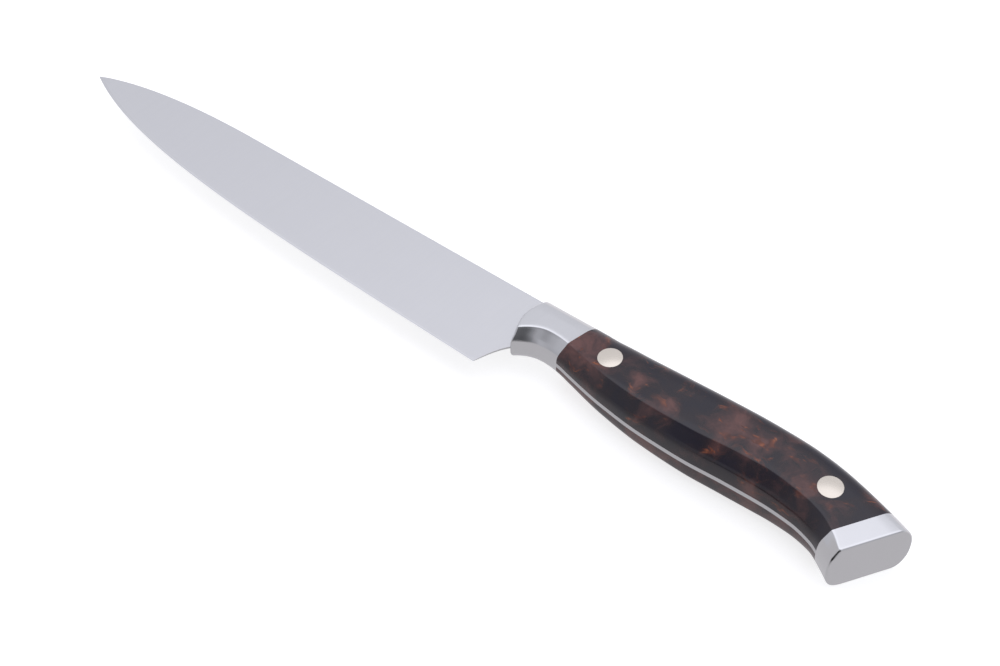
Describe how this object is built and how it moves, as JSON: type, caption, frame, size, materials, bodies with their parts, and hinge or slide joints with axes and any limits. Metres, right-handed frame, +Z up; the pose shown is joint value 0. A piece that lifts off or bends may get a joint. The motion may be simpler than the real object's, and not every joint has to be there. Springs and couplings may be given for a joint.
{
  "type": "kitchen utility knife",
  "caption": "Kitchen utility knife with a slim ground blade, full tang, polished bolster, riveted dark scales and a slanted steel butt cap.",
  "frame": {"origin": "middle of the bottom of the bounding box, with the knife lying on the flat right side of its handle", "axes": "+X along the blade axis from the point towards the butt, +Y from the edge towards the spine, +Z up out of the left side"},
  "size_m": [0.2652, 0.0266, 0.0158],
  "materials": {
    "blade_steel": "satin ground stainless steel",
    "bolster_steel": "polished stainless steel",
    "cap_steel": "polished stainless steel",
    "scale": "resin-filled burl, gloss, dark brown with red-brown and orange flecks",
    "rivet": "nickel silver, ground flush and polished"
  },
  "bodies": {
    "root": {"blade_and_tang": "blade_steel", "bolster_left": "bolster_steel", "bolster_right": "bolster_steel", "scale_left": "scale", "scale_right": "scale", "front_rivet_male": "rivet", "front_rivet_female": "rivet", "rear_rivet_male": "rivet", "rear_rivet_female": "rivet", "butt_cap": "cap_steel"}
  },
  "joints": []
}
